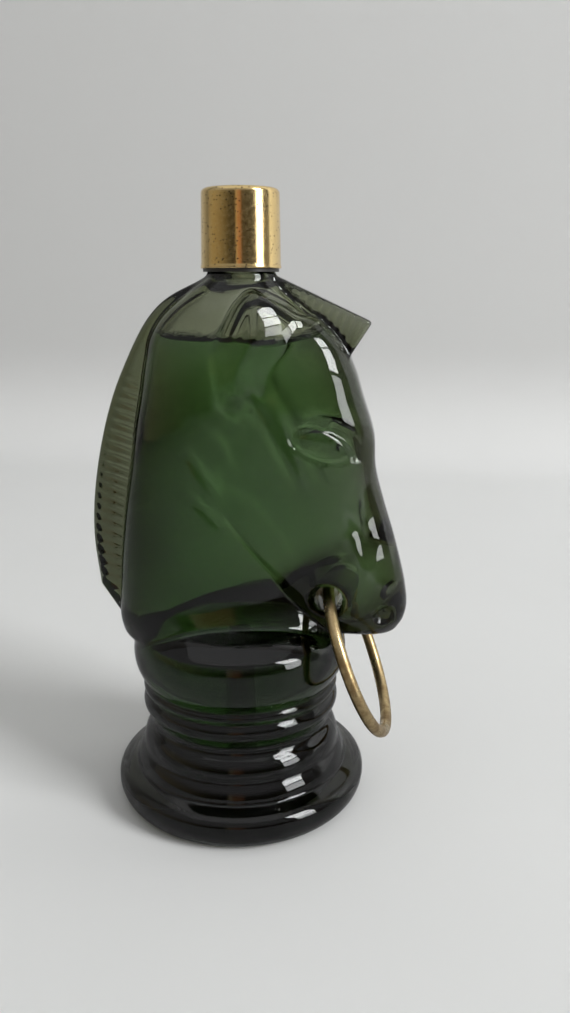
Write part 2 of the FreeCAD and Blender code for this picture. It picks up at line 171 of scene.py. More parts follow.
# Forelock: back apex, tip, and the two lower edges on one side
FORELOCK_BACK = (8.0, 0.0, 127.4)
FORELOCK_TIP = (30.9, 0.0, 116.8)
FORELOCK_BACK_TOP = (8.0, 2.4, 127.4)
FORELOCK_TIP_TOP = (30.9, 1.8, 116.8)
FORELOCK_BACK_EDGE = (11.0, 5.4, 118.0)
FORELOCK_FRONT_EDGE = (25.6, 3.9, 108.6)
FORELOCK_INSIDE = (19.0, 0.0, 117.0)
FORELOCK_RUN = (0.907, -0.42)
COMB_HEIGHT = 0.10
COMB_PITCH = 1.9

# Ear: its outline on the side of the head, its ridge as height, place and reach, and its fall from there
EAR_OUTLINE = ((5.3, 122.6), (12.5, 118.9), (16.6, 115.4), (15.6, 113.0), (9.3, 108.4), (6.8, 102.9),
               (2.8, 98.4), (-0.3, 100.5), (-1.5, 110.0), (0.2, 114.5), (2.7, 119.7))
EAR_LEVELS = (
    (98.0, 1.8, 16.2),
    (103.0, 2.6, 16.4),
    (108.0, 3.8, 16.4),
    (113.0, 6.0, 16.2),
    (118.0, 6.2, 15.3),
    (122.3, 5.4, 13.4),
    (124.0, 5.2, 12.4),
)
EAR_FRONT_FALL = 0.42
EAR_FRONT_BEND = 0.042
EAR_BACK_FALL = 0.33
EAR_GROWN = 1.0
EAR_EDGE_ROUND = 0.9

# Screw finish and the holes
THREAD_PITCH = 2.117
THREAD_START_Z = 134.0
THREAD_TURNS = 1.75
FINISH_RADIUS = 6.45
THREAD_HEIGHT = 0.85
THREAD_HALF = 0.55
FINISH_FOOT_Z = 122.0
ROOT = (7.2, 124.0, 2.6)
BEAD = (7.7, 126.8, 0.85)
BORE_RADIUS = 4.25
BORE_FOOT_Z = 123.0
RIM_Z = 142.6
HOLE_X = 22.6
HOLE_Z = 54.1
HOLE_RADIUS = 3.25
HOLE_FLARE = 2.15
HOLE_FLARE_SPAN = (8.0, 13.4)

# Fill: its level, its gap to the glass, how far it climbs the wall, where its free top starts, how near
# to the hollow's wall counts as the wall for the glass and for the fill, and up to where the wall is wet
LIQUID_TOP_Z = 112.0
LIQUID_GAP = 0.03
CLIMB_HEIGHT = 2.4
CLIMB_REACH = 1.2
FREE_TOP_Z = 111.4
GLASS_WALL_NEAR = 0.1
FILL_WALL_NEAR = 0.06
WET_TOP_Z = 114.2

# Grids for the meshes: low and high along each axis, and the step
GLASS_GRID_X = (-37.5, 42.6)
GLASS_GRID_HALF_Y = 33.1
GLASS_GRID_Z = (-1.5, 144.6)
GLASS_STEP = 0.5
SLAB = 40
THREAD_FROM_Z = 124.0
LIQUID_GRID = ((-28.0, 39.0), (-23.0, 23.1), (6.0, 116.0))
LIQUID_STEP = 0.7

# Cap shell: inside and outside as radius and height, its rounded top edge, and the dip of its top by radius
CAP_PROFILE = (
    (0.0, 144.65), (7.0, 144.65), (7.75, 144.4), (8.22, 143.7), (8.5, 128.6), (8.55, 128.3),
    (8.7, 128.2), (8.9, 128.22), (8.99, 128.4), (8.97, 128.65), (8.88, 129.0), (8.85, 129.3),
    (8.84, 130.0), (8.78, 134.0), (8.70, 138.0), (8.64, 141.5), (8.61, 143.2), (8.60, 143.9),
)
CAP_TOP_Z = 145.0
CAP_FLAT_RADIUS = 7.5
CAP_EDGE_ROUND = 1.1
CAP_DIP = ((CAP_FLAT_RADIUS, 0.0), (7.0, 0.0), (4.0, 0.02), (0.0, 0.04))

# Brass ring: its radius, wire, seat in the hole and lean at rest
RING_RADIUS = 19.4
RING_WIRE = 1.4
RING_SEAT = 1.4
RING_LEAN = math.radians(22)

# Stage in metres: the wall behind, the cove at its foot, how far all runs, and where distance turns pale
WALL_Y = 0.44
COVE = 0.08
STAGE_REACH = 6.0
WALL_TOP = 5.0
PALE_FROM = 0.55
PALE_TO = 1.3
BACKDROP_SEEN = (0.72, 0.72, 0.71, 1)

# Lamps: daylight, the window's panes as name, elevation and power, and where they stand
DAYLIGHT = (0.98, 0.99, 1.0)
WINDOW_PANES = (("low", 9.0, 9.5), ("middle", 24.0, 21.0), ("top", 39.0, 21.0))
WINDOW_AZIMUTH = 67.0
WINDOW_DISTANCE = 2.4
PANE_WIDTH = 0.80
PANE_HEIGHT = 0.544
CEILING_ELEVATION = 85.0
CEILING_DISTANCE = 1.0
CEILING_SIZE = 1.4
CEILING_POWER = 2.1
LAMP_AIM = (0.0, 0.0, 0.06)

# What the front of the bottle mirrors, from left to right
ROOM_LEFT = (0.34, 0.29, 0.19, 1)
ROOM_RIGHT = (0.10, 0.09, 0.07, 1)
ROOM_MARKS = (
    (0.30, (0.08, 0.07, 0.045, 1)),
    (0.46, (0.03, 0.025, 0.02, 1)),
    (0.49, (0.55, 0.45, 0.28, 1)),
    (0.52, (0.42, 0.22, 0.12, 1)),
    (0.58, (0.40, 0.20, 0.11, 1)),
    (0.62, (0.07, 0.06, 0.045, 1)),
    (0.80, (0.05, 0.045, 0.035, 1)),
)
ROOM_ABOVE = (0.36, 0.36, 0.36, 1)
ROOM_BEHIND = (0.27, 0.27, 0.27, 1)

# Camera, as the photograph was taken
CAMERA_PLACE = (0.03857, -0.19444, 0.12619)
CAMERA_DIP = math.radians(14.93)
CAMERA_TURN = math.radians(8.0)
LENS = 30.455


# Shape arithmetic

def through(xs, ys):
    """Smooth curve through given values."""
    xs = np.asarray(xs, float)
    ys = np.asarray(ys, float)
    slopes = np.gradient(ys, xs)

    def value(x):
        i = np.clip(np.searchsorted(xs, x) - 1, 0, len(xs) - 2)
        step = xs[i + 1] - xs[i]
        t = np.clip((x - xs[i]) / step, 0.0, 1.0)
        s = 1.0 - t
        return (s * s * (1 + 2 * t) * ys[i] + t * t * (3 - 2 * t) * ys[i + 1]
                + t * s * step * (s * slopes[i] - t * slopes[i + 1]))
    return value


def columns(levels):
    """One smooth curve over height for each column of a table of levels."""
    rows = np.array(levels)
    return [through(rows[:, 0], rows[:, i]) for i in range(1, rows.shape[1])]


def smooth_min(a, b, k):
    """The lesser of two values, with a fillet of size k where they meet."""
    h = np.maximum(k - np.abs(a - b), 0.0)
    return np.minimum(a, b) - h * h / (4.0 * k)


def smooth_max(a, b, k):
    """The greater of two values, with a fillet of size k where they meet."""
    h = np.maximum(k - np.abs(a - b), 0.0)
    return np.maximum(a, b) + h * h / (4.0 * k)


def ramp(x, low, high):
    """Smooth step from 0 to 1."""
    t = np.clip((x - low) / (high - low), 0.0, 1.0)
    return t * t * (3 - 2 * t)


def arc_points(a, b, c, count=14):
    """Points on the circular arc from a through b to c, without its end."""
    (ax, ay), (bx, by), (cx, cy) = a, b, c
    d = 2 * (ax * (by - cy) + bx * (cy - ay) + cx * (ay - by))
    sa, sb, sc = ax * ax + ay * ay, bx * bx + by * by, cx * cx + cy * cy
    ox = (sa * (by - cy) + sb * (cy - ay) + sc * (ay - by)) / d
    oy = (sa * (cx - bx) + sb * (ax - cx) + sc * (bx - ax)) / d
    radius = math.hypot(ax - ox, ay - oy)
    start = math.atan2(ay - oy, ax - ox)
    middle = (math.atan2(by - oy, bx - ox) - start) % (2 * math.pi)
    end = (math.atan2(cy - oy, cx - ox) - start) % (2 * math.pi)
    if middle > end:
        end -= 2 * math.pi
    turns = [start + end * i / count for i in range(count)]
    return [(ox + radius * math.cos(t), oy + radius * math.sin(t)) for t in turns]


def curve_points(points, count=40):
    """Points along a smooth open curve through given points."""
    p = np.asarray(points, float)
    run = np.concatenate(([0.0], np.cumsum(np.hypot(*np.diff(p, axis=0).T))))
    at = np.linspace(0.0, run[-1], count)
    return np.stack([through(run, p[:, i])(at) for i in range(p.shape[1])], axis=1)


def outline_distance(points, u, v):
    """Signed distance to a closed outline, negative inside."""
    best = np.full(u.shape, 1e9)
    inside = np.zeros(u.shape, bool)
    for a, b in zip(points, np.roll(points, -1, axis=0)):
        du, dv = b - a
        t = np.clip(((u - a[0]) * du + (v - a[1]) * dv) / (du * du + dv * dv + 1e-12), 0, 1)
        best = np.minimum(best, (u - a[0] - t * du) ** 2 + (v - a[1] - t * dv) ** 2)
        if a[1] != b[1]:
            crosses = (a[1] > v) != (b[1] > v)
            inside ^= crosses & (u < a[0] + (v - a[1]) / dv * du)
    return np.where(inside, -1.0, 1.0) * np.sqrt(best)


def curve_distance(points, x, z):
    """Distance to an open curve, and how far along it the nearest point lies, from 0 to 1."""
    best = np.full(np.broadcast(x, z).shape, 1e9)
    along = np.zeros(best.shape)
    count = len(points) - 1
    for i in range(count):
        (ax, az), (bx, bz) = points[i], points[i + 1]
        dx, dz = bx - ax, bz - az
        t = np.clip(((x - ax) * dx + (z - az) * dz) / (dx * dx + dz * dz), 0, 1)
        d = (x - ax - t * dx) ** 2 + (z - az - t * dz) ** 2
        near = d < best
        best = np.where(near, d, best)
        along = np.where(near, (i + t) / count, along)
    return np.sqrt(best), along


class Chart:
    """Signed distance to a closed flat outline, tabled on a fine grid with its corners softened."""

    def __init__(self, points, low, high, step=0.1, soften=2):
        self.low, self.step = low, step
        u = np.arange(low[0], high[0], step)
        v = np.arange(low[1], high[1], step)
        table = outline_distance(np.asarray(points), *np.meshgrid(u, v, indexing="ij"))
        reach = np.arange(-3 * soften, 3 * soften + 1)
        weight = np.exp(-0.5 * (reach / soften) ** 2)
        weight /= weight.sum()
        for axis in (0, 1):
            pad = [(0, 0), (0, 0)]
            pad[axis] = (3 * soften, 3 * soften)
            wide = np.pad(table, pad, mode="edge")
            size = table.shape[axis]
            table = sum(w * np.take(wide, np.arange(i, i + size), axis) for i, w in enumerate(weight))
        self.table = table

    def __call__(self, u, v):
        a = np.clip((u - self.low[0]) / self.step, 0, self.table.shape[0] - 1.001)
        b = np.clip((v - self.low[1]) / self.step, 0, self.table.shape[1] - 1.001)
        i, j = a.astype(int), b.astype(int)
        s, t = a - i, b - j
        f = self.table
        return ((f[i, j] * (1 - s) + f[i + 1, j] * s) * (1 - t)
                + (f[i, j + 1] * (1 - s) + f[i + 1, j + 1] * s) * t)


def level_form(table, x, y, z, front_square=None):
    """Near distance to a body given level by level as rounded boxes that narrow towards the front."""
    back, front, depth, square, narrow = [column(z) for column in table]
    half = (front - back) / 2
    along = (x - (front + back) / 2) / half
    power = square if front_square is None else np.where(along > 0, front_square, square)
    width = depth * (1 - narrow * (1 + np.clip(along, -1, 1)) / 2)
    a = np.abs(along)
    q = np.abs(y) / width
    g = np.maximum((a ** power + q ** power) ** (1 / power), 0.05)
    slope = np.hypot((a / g) ** (power - 1) / half, (q / g) ** (power - 1) / width)
    return (g - 1) / np.maximum(slope, 0.01)


def plane_through(p, q, r, inside):
    """Outward unit normal and offset of the plane through three points."""
    p, q, r, inside = (np.array(v, float) for v in (p, q, r, inside))
    normal = np.cross(q - p, r - p)
    normal /= np.linalg.norm(normal)
    if normal @ (inside - p) > 0:
        normal = -normal
    return normal, normal @ p


# Forms of the glass

NECK = columns(NECK_LEVELS)
HEAD = columns(HEAD_LEVELS)
HOLLOW = columns(HOLLOW_LEVELS)
EAR = columns(EAR_LEVELS)

pedestal_outline = []
for piece in PEDESTAL:
    pedestal_outline += arc_points(*piece) if len(piece) == 3 else [piece[0]]
pedestal_outline.append(PEDESTAL[-1][1])
PEDESTAL_CHART = Chart(pedestal_outline, (-0.5, -4.0), (46.0, 60.0))

mane_outline = list(map(tuple, curve_points(MANE_EDGE, 48))) + list(MANE_INSIDE)
MANE_CHART = Chart(mane_outline, (-48.0, 36.0), (16.0, 134.0), step=0.15)

EAR_CHART = Chart(EAR_OUTLINE, (-12.0, 90.0), (28.0, 132.0), step=0.15, soften=6)

JAW_RIDGE = curve_points(((4.0, 103.0), (9.0, 96.0), (13.0, 88.5), (19.3, 73.8)))
NECK_FOLDS = (
    curve_points(((-8.7, 90.6), (-5.0, 84.5), (-1.0, 77.3))),
    curve_points(((-9.6, 81.2), (-4.5, 76.0), (1.6, 69.4))),
)
BROW = curve_points(((23.0, 94.6), (26.6, 92.4), (28.4, 87.6)))
NOSE_SIDE = curve_points(((27.0, 80.0), (29.0, 72.0), (32.0, 62.0)))
# Carved lines: curve, height over the form, width, and how gently the ends fade, where 0 is not at all
CARVED_LINES = (
    (JAW_RIDGE, 0.8, 1.5, 0.7),
    (NECK_FOLDS[0], -0.55, 1.3, 1.0),
    (NECK_FOLDS[1], -0.55, 1.3, 1.0),
    (NOSE_SIDE, -0.5, 1.4, 1.0),
    (BROW, -0.6, 0.8, 0.0),
)
# Eye: an almond that bulges inside its lid
EYE_X = 20.9
EYE_Z = 90.8
EYE_LENGTH = 6.4
EYE_HEIGHT = 3.2
EYE_TILT = math.radians(22)
EYE_BULGE = 0.55
LID_AT = 1.06
LID_DEPTH = 0.42
LID_WIDTH = 0.4


def relief(x, z):
    """Carving on the sides of the head and neck, as height over the plain form."""
    height = 0.0
    for curve, rise, width, fading in CARVED_LINES:
        far, along = curve_distance(curve, x, z)
        ends = np.sin(np.pi * np.clip(along, 0.02, 0.98)) ** fading
        height = height + rise * ends * np.exp(-(far / width) ** 2)
    u = (x - EYE_X) * math.cos(EYE_TILT) - (z - EYE_Z) * math.sin(EYE_TILT)
    v = (x - EYE_X) * math.sin(EYE_TILT) + (z - EYE_Z) * math.cos(EYE_TILT)
    almond = np.hypot(u / EYE_LENGTH, v / EYE_HEIGHT)
    height = height + EYE_BULGE * np.maximum(1 - almond ** 2, 0.0)
    return height - LID_DEPTH * np.exp(-((almond - LID_AT) * EYE_HEIGHT / LID_WIDTH) ** 2)


def finish_form(x, y, z):
    """Threaded mouth: bead, wall with its thread, rounded rim."""
    radius = np.hypot(x - MOUTH_X, y)
    turn = np.arctan2(y, x - MOUTH_X) / (2 * np.pi)
    wound = turn + np.round((z - THREAD_START_Z) / THREAD_PITCH - turn)
    off = (z - THREAD_START_Z - THREAD_PITCH * wound) / THREAD_HALF
    ends = ramp(wound, -0.06, 0.1) * (1 - ramp(wound, THREAD_TURNS - 0.1, THREAD_TURNS + 0.06))
    wall = FINISH_RADIUS + THREAD_HEIGHT * ends * (1 - ramp(np.abs(off), 0.35, 1.15))
    tube = smooth_max((radius - wall) * 0.8, z - RIM_Z, 1.6)
    tube = smooth_max(tube, FINISH_FOOT_Z - z, 0.5)
    root = smooth_max(radius - ROOT[0], np.abs(z - ROOT[1]) - ROOT[2], 0.6)
    bead = smooth_max(radius - BEAD[0], np.abs(z - BEAD[1]) - BEAD[2], 0.9)
    return smooth_min(smooth_min(root, bead, 0.35), tube, 0.4)


def mirrored(point):
    """The same point on the other side of the head."""
    return (point[0], -point[1], point[2])


FORELOCK_CORNERS = (
    (FORELOCK_BACK_TOP, FORELOCK_TIP_TOP, FORELOCK_FRONT_EDGE),
    (FORELOCK_BACK, FORELOCK_TIP, FORELOCK_TIP_TOP),
    (FORELOCK_TIP, FORELOCK_FRONT_EDGE, mirrored(FORELOCK_FRONT_EDGE)),
    (FORELOCK_BACK, FORELOCK_BACK_EDGE, mirrored(FORELOCK_BACK_EDGE)),
    (FORELOCK_BACK_EDGE, FORELOCK_FRONT_EDGE, mirrored(FORELOCK_FRONT_EDGE)),
)
FORELOCK_PLANES = [plane_through(*corners, FORELOCK_INSIDE) for corners in FORELOCK_CORNERS]


def forelock_form(x, y, z):
    """Roof-shaped tuft of hair over the brow, combed in fine grooves."""
    side = np.abs(y)
    along = (x - FORELOCK_BACK[0]) * FORELOCK_RUN[0] + (z - FORELOCK_BACK[2]) * FORELOCK_RUN[1]
    comb = COMB_HEIGHT * np.sin(along * 2 * np.pi / COMB_PITCH)
    form = None
    for normal, offset in FORELOCK_PLANES:
        far = x * normal[0] + side * normal[1] + z * normal[2] - offset
        form = far + comb if form is None else smooth_max(form, far, 1.0)
    return form


def ear_form(x, y, z, wall=0.0):
    """Ear raised on the side of the head: two facets and a ridge. With a wall, the space behind it."""
    middle, reach = [column(z) for column in EAR]
    off = x - middle
    front = EAR_FRONT_FALL * off + EAR_FRONT_BEND * np.maximum(off, 0.0) ** 2
    fall = smooth_max(front, -EAR_BACK_FALL * off, 0.5)
    facets = (np.abs(y) - (reach - fall) + wall) * 0.85
    return smooth_max(facets, EAR_CHART(x, z) - EAR_GROWN - 0.6 * wall, EAR_EDGE_ROUND)


def mane_form(x, y, z):
    """Fin along the back of the neck: a ribbed bead along its edge and a thinner web inside."""
    edge = MANE_CHART(x, z)
    place = (z + MANE_RIB_TILT * x) / MANE_RIB_PITCH % 1.0 - 0.5
    rib = np.exp(-(place * MANE_RIB_PITCH / MANE_RIB_WIDTH) ** 2)
    lower = 1 - ramp(z, *MANE_RIB_TOP)
    half = MANE_WEB_HALF + (MANE_HALF - MANE_WEB_HALF) * ramp(edge, *MANE_RIM)
    half = half + MANE_RIB_HEIGHT * lower * rib * ramp(-edge, *MANE_RIB_RISE)
    return smooth_max(edge, np.abs(y) - half, MANE_ROUND)


def outer_form(x, y, z):
    """The whole outside of the glass, less the fine carving."""
    neck = smooth_max(level_form(NECK, x, y, z), np.abs(z - NECK_SPAN[0]) - NECK_SPAN[1], 0.6)
    head = level_form(HEAD, x, y, z, FACE_SQUARE)
    head = smooth_max(head, np.abs(z - HEAD_SPAN[0]) - HEAD_SPAN[1], 1.6)
    form = smooth_min(neck, head, NECK_FILLET)
    form = smooth_min(form, ear_form(x, y, z), EAR_FILLET)
    form = smooth_min(form, forelock_form(x, y, z), FORELOCK_FILLET)
    form = smooth_min(form, mane_form(x, y, z), MANE_FILLET)
    form = smooth_min(form, PEDESTAL_CHART(np.hypot(x, y), z), STAND_FILLET)
    form = smooth_min(form, finish_form(x, y, z), FINISH_FILLET)
    off = [(place - middle) ** 2 for place, middle in zip((x, np.abs(y), z), NOSTRIL)]
    nostril = np.sqrt(off[0] + off[1] + off[2]) - NOSTRIL_RADIUS
    return smooth_max(form, -nostril, 0.8)


def hollow_form(x, y, z, outside=None):
    """The space inside the glass, up through the mouth, kept clear of the outside by a least wall."""
    if outside is None:
        outside = outer_form(x, y, z)
    space = smooth_max(level_form(HOLLOW, x, y, z), np.abs(z - HOLLOW_SPAN[0]) - HOLLOW_SPAN[1], 0.8)
    space = smooth_min(space, ear_form(x, y, z, EAR_WALL), 4.0)
    middle, half = MUZZLE_HOLLOW
    lobe = [((place - centre) / size) ** 2 for place, centre, size in zip((x, y, z), middle, half)]
    space = smooth_min(space, (np.sqrt(lobe[0] + lobe[1] + lobe[2]) - 1) * half[1], 2.5)
    space = smooth_max(space, TUNNEL_WALL - hole_form(x, y, z), 1.0)
    space = smooth_max(space, outside + LEAST_WALL, 1.2)
    bore = smooth_max(np.hypot(x - MOUTH_X, y) - BORE_RADIUS, BORE_FOOT_Z - z, 0.5)
    return smooth_min(space, bore, 1.2)


def hole_form(x, y, z):
    """Hole across the mouth for the ring, flared at both ends."""
    radius = HOLE_RADIUS + HOLE_FLARE * ramp(np.abs(y), *HOLE_FLARE_SPAN)
    return np.hypot(x - HOLE_X, z - HOLE_Z) - radius


def glass_form(x, y, z, carving=None):
    """The glass itself: outside less the hollow and the hole."""
    outside = outer_form(x, y, z)
    form = outside
    if carving is not None:
        form = form - carving * ramp(np.abs(y), 4.0, 7.0)
    form = smooth_max(form, -hole_form(x, y, z), 0.8)
    return smooth_max(form, -hollow_form(x, y, z, outside), 0.4)


def liquid_form(x, y, z):
    """The fill, just clear of the glass, climbing a little where it meets the wall."""
    space = hollow_form(x, y, z) + LIQUID_GAP
    climb = CLIMB_HEIGHT * np.exp(np.minimum(space, 0.0) / CLIMB_REACH)
    return smooth_max(space, z - LIQUID_TOP_Z - climb, 0.15)


# Meshing

CELL_CORNERS = [(i, j, k) for i in (0, 1) for j in (0, 1) for k in (0, 1)]
AROUND_EDGE = ((-1, -1), (0, -1), (0, 0), (-1, 0))


def net_points(values, cells):
    """One point for each cell that the surface crosses, amid its crossings, in steps of the grid."""
    total = np.zeros((len(cells), 3))
    hits = np.zeros(len(cells))
    for a in CELL_CORNERS:
        for axis in range(3):
            if a[axis]:
                continue
            b = np.array(a)
            b[axis] = 1
            fa = values[tuple((cells + a).T)]
            fb = values[tuple((cells + b).T)]
            cross = (fa < 0) != (fb < 0)
            t = np.where(cross, fa / np.where(cross, fa - fb, 1.0), 0.0)
            point = cells + np.array(a, float)
            point[:, axis] += t
            total += point * cross[:, None]
            hits += cross
    return total / hits[:, None]


def net_quads(inside, number, axis):
    """A quad around each grid edge along one axis that the surface crosses, facing outward."""
    one, two = (axis + 1) % 3, (axis + 2) % 3
    a = [slice(1, -1)] * 3
    b = [slice(1, -1)] * 3
    a[axis], b[axis] = slice(0, -1), slice(1, None)
    start, end = inside[tuple(a)], inside[tuple(b)]
    edge = np.argwhere(start != end)
    leaves = start[tuple(edge.T)]
    edge[:, one] += 1
    edge[:, two] += 1
    quads = []
    for d1, d2 in AROUND_EDGE:
        cell = edge.copy()
        cell[:, one] += d1
        cell[:, two] += d2
        quads.append(number[tuple(cell.T)])
    quads = np.stack(quads, axis=1)
    quads[~leaves] = quads[~leaves][:, ::-1]
    return quads


def surface_net(values, low, step):
    """Points and quads of the zero surface of a grid of values."""
    inside = values < 0
    nx, ny, nz = values.shape
    count = np.zeros((nx - 1, ny - 1, nz - 1), np.uint8)
    for i, j, k in CELL_CORNERS:
        count += inside[i:nx - 1 + i, j:ny - 1 + j, k:nz - 1 + k]
    cells = np.argwhere((count > 0) & (count < 8))
    number = np.full(count.shape, -1, np.int64)
    number[tuple(cells.T)] = np.arange(len(cells))
    points = np.asarray(low) + step * net_points(values, cells)
    quads = [net_quads(inside, number, axis) for axis in range(3)]
    return points, np.concatenate(quads)


def settle(points, quads, value, slope_of, rounds=3):
    """Even out a mesh and lay its points exactly on the surface."""
    probe = 0.02
    edges = np.concatenate([quads[:, [i, (i + 1) % 4]] for i in range(4)])
    degree = np.bincount(edges[:, 0], minlength=len(points)).astype(float)
    for turn in range(rounds):
        if turn < rounds - 1:
            total = np.zeros_like(points)
            for i in range(3):
                total[:, i] = np.bincount(edges[:, 0], points[edges[:, 1], i], len(points))
            points = 0.4 * points + 0.6 * total / degree[:, None]
        for _ in range(2):
            x, y, z = points.T
            here = slope_of(x, y, z)
            ahead = (slope_of(x + probe, y, z), slope_of(x, y + probe, z), slope_of(x, y, z + probe))
            grad = np.stack([(there - here) / probe for there in ahead], axis=1)
            size = np.maximum((grad ** 2).sum(1), 0.2)
            move = np.clip(value(x, y, z) / size, -0.4, 0.4)
            points = points - grad * move[:, None]
    return points


def make_mesh(name, points, faces):
    """A smooth-shaded object from points in millimetres."""
    mesh = bpy.data.meshes.new(name)
    corners = faces.tolist() if isinstance(faces, np.ndarray) else faces
    mesh.from_pydata((np.asarray(points) * MM).tolist(), [], corners)
    mesh.validate()
    mesh.polygons.foreach_set("use_smooth", [True] * len(mesh.polygons))
    piece = bpy.data.objects.new(name, mesh)
    bpy.context.scene.collection.objects.link(piece)
    return piece


def add_number(piece, name, values):
    """A number on each point of a mesh, for its material to read."""
    layer = piece.data.attributes.new(name, "FLOAT", "POINT")
    layer.data.foreach_set("value", np.asarray(values, np.float32))


def carved_glass_form(x, y, z):
    """The glass with its carving."""
    return glass_form(x, y, z, relief(x, z))


def glass_mesh():
    """The glass as points and quads: one side is worked out and mirrored, up to the one-sided thread."""
    x = np.arange(*GLASS_GRID_X, GLASS_STEP)[:, None, None]
    half_y = np.arange(0.0, GLASS_GRID_HALF_Y, GLASS_STEP)
    y = np.concatenate((-half_y[:0:-1], half_y))[None, :, None]
    z = np.arange(*GLASS_GRID_Z, GLASS_STEP)
    low = z[z < THREAD_FROM_Z][None, None, :]
    high = z[z >= THREAD_FROM_Z][None, None, :]
    near = half_y[None, :, None]
    plain = []
    for start in range(0, low.shape[2], SLAB):
        part = low[:, :, start:start + SLAB]
        half = carved_glass_form(x, near, part).astype(np.float32)
        plain.append(np.concatenate((half[:, :0:-1], half), axis=1))
    plain.append(carved_glass_form(x, y, high).astype(np.float32))
    values = np.concatenate(plain, axis=2)
    points, quads = surface_net(values, (x[0, 0, 0], y[0, 0, 0], z[0]), GLASS_STEP)
    return settle(points, quads, carved_glass_form, glass_form), quads


def liquid_mesh():
    """The fill as points and quads."""
    x, y, z = [np.arange(*span, LIQUID_STEP) for span in LIQUID_GRID]
    values = liquid_form(x[:, None, None], y[None, :, None], z[None, None, :])
    points, quads = surface_net(values, (x[0], y[0], z[0]), LIQUID_STEP)
    return settle(points, quads, liquid_form, liquid_form), quads


def lathe(name, profile, segments=192):
    """Closed turned piece about the mouth's axis from a profile that starts and ends on the axis."""
    points = [(MOUTH_X, 0.0, profile[0][1])]
    faces = []
    rings = profile[1:-1]
    for radius, z in rings:
        for i in range(segments):
            turn = 2 * math.pi * i / segments
            points.append((MOUTH_X + radius * math.cos(turn), radius * math.sin(turn), z))
    points.append((MOUTH_X, 0.0, profile[-1][1]))
    last = len(points) - 1
    for i in range(segments):
        j = (i + 1) % segments
        faces.append((0, 1 + j, 1 + i))
        for row in range(len(rings) - 1):
            a, b = 1 + row * segments, 1 + (row + 1) * segments
            faces.append((a + i, a + j, b + j, b + i))
        tail = 1 + (len(rings) - 1) * segments
        faces.append((tail + i, tail + j, last))
    return make_mesh(name, points, faces)


# Materials

def material(name):
    """A new node material, with its nodes and its main shader."""
    made = bpy.data.materials.new(name)
    made.use_nodes = True
    tree = made.node_tree
    return made, tree, tree.nodes["Principled BSDF"]


def node(tree, kind, inputs=None, **settings):
    """A shader node with its settings and inputs, linked where an input is another node's output."""
    made = tree.nodes.new("ShaderNode" + kind)
    for key, value in settings.items():
        setattr(made, key, value)
    for key, value in (inputs or {}).items():
        if isinstance(value, bpy.types.NodeSocket):
            tree.links.new(value, made.inputs[key])
        else:
            made.inputs[key].default_value = value
    return made


def maths(tree, operation, *values):
    """A number worked out from others."""
    return node(tree, "Math", dict(enumerate(values)), operation=operation).outputs[0]


def fade(tree, value, low, high, start=0.0, end=1.0):
    """A value remapped from one range to another, smoothly and within bounds."""
    bounds = {0: value, 1: low, 2: high, 3: start, 4: end}
    return node(tree, "MapRange", bounds, interpolation_type="SMOOTHSTEP").outputs[0]


def blend(tree, factor, first, second):
    """A colour between two colours."""
    return node(tree, "Mix", {0: factor, 6: first, 7: second}, data_type="RGBA").outputs[2]


def roughen(tree, shader, height, strength, distance):
    """Bump on a shader from a height."""
    bump = node(tree, "Bump", {"Height": height, "Strength": strength, "Distance": distance})
    tree.links.new(bump.outputs[0], shader.inputs["Normal"])


def clear_material(name, colour, density, ior):
    """Glass or liquid: colour comes from its thickness, and refraction from each point of the mesh."""
    made, tree, shader = material(name)
    shader.inputs["Base Color"].default_value = (1, 1, 1, 1)
    shader.inputs["Transmission Weight"].default_value = 1.0
    shader.inputs["IOR"].default_value = ior
    shader.inputs["Roughness"].default_value = 0.0
    number = node(tree, "Attribute", attribute_name="ior")
    tree.links.new(number.outputs["Fac"], shader.inputs["IOR"])
    volume = node(tree, "VolumeAbsorption", {"Color": colour, "Density": density})
    tree.links.new(volume.outputs[0], tree.nodes["Material Output"].inputs["Volume"])
    return made, tree, shader


def glass_material():
    """Moulded glass: wavy, with mould seams and a faint film."""
    made, tree, shader = clear_material("green_glass_moulded", GLASS_TINT, GLASS_DENSITY, GLASS_IOR)
    place = node(tree, "TexCoord").outputs["Object"]
    wavy = node(tree, "TexNoise", {"Vector": place, "Scale": 160.0, "Detail": 1.0})
    where = node(tree, "SeparateXYZ", {0: place})
    aside = maths(tree, "ABSOLUTE", where.outputs["Y"])
    parting = fade(tree, aside, *SEAM_EDGE, 0.6, 0.0)
    below = fade(tree, where.outputs["Z"], *SEAM_TOP, 1.0, 0.0)
    seam = maths(tree, "MULTIPLY_ADD", parting, below, wavy.outputs[0])
    rise = maths(tree, "ABSOLUTE", maths(tree, "SUBTRACT", where.outputs["Z"], FOOT_SEAM_Z))
    foot = fade(tree, rise, *SEAM_EDGE, 0.5, 0.0)
    roughen(tree, shader, maths(tree, "ADD", foot, seam), 0.17, 0.0006)
    film = node(tree, "TexNoise", {"Vector": place, "Scale": 420.0, "Detail": 4.0})
    tree.links.new(fade(tree, film.outputs[0], 0.55, 0.8, 0.0, 0.10), shader.inputs["Roughness"])
    return made


def liquid_material():
    """Aftershave with a faint ripple on top."""
    made, tree, shader = clear_material("aftershave_green", LIQUID_TINT, LIQUID_DENSITY, LIQUID_IOR)
    place = node(tree, "TexCoord").outputs["Object"]
    ripple = node(tree, "TexNoise", {"Vector": place, "Scale": 110.0, "Detail": 2.0})
    roughen(tree, shader, ripple.outputs[0], 0.1, 0.0005)
    return made


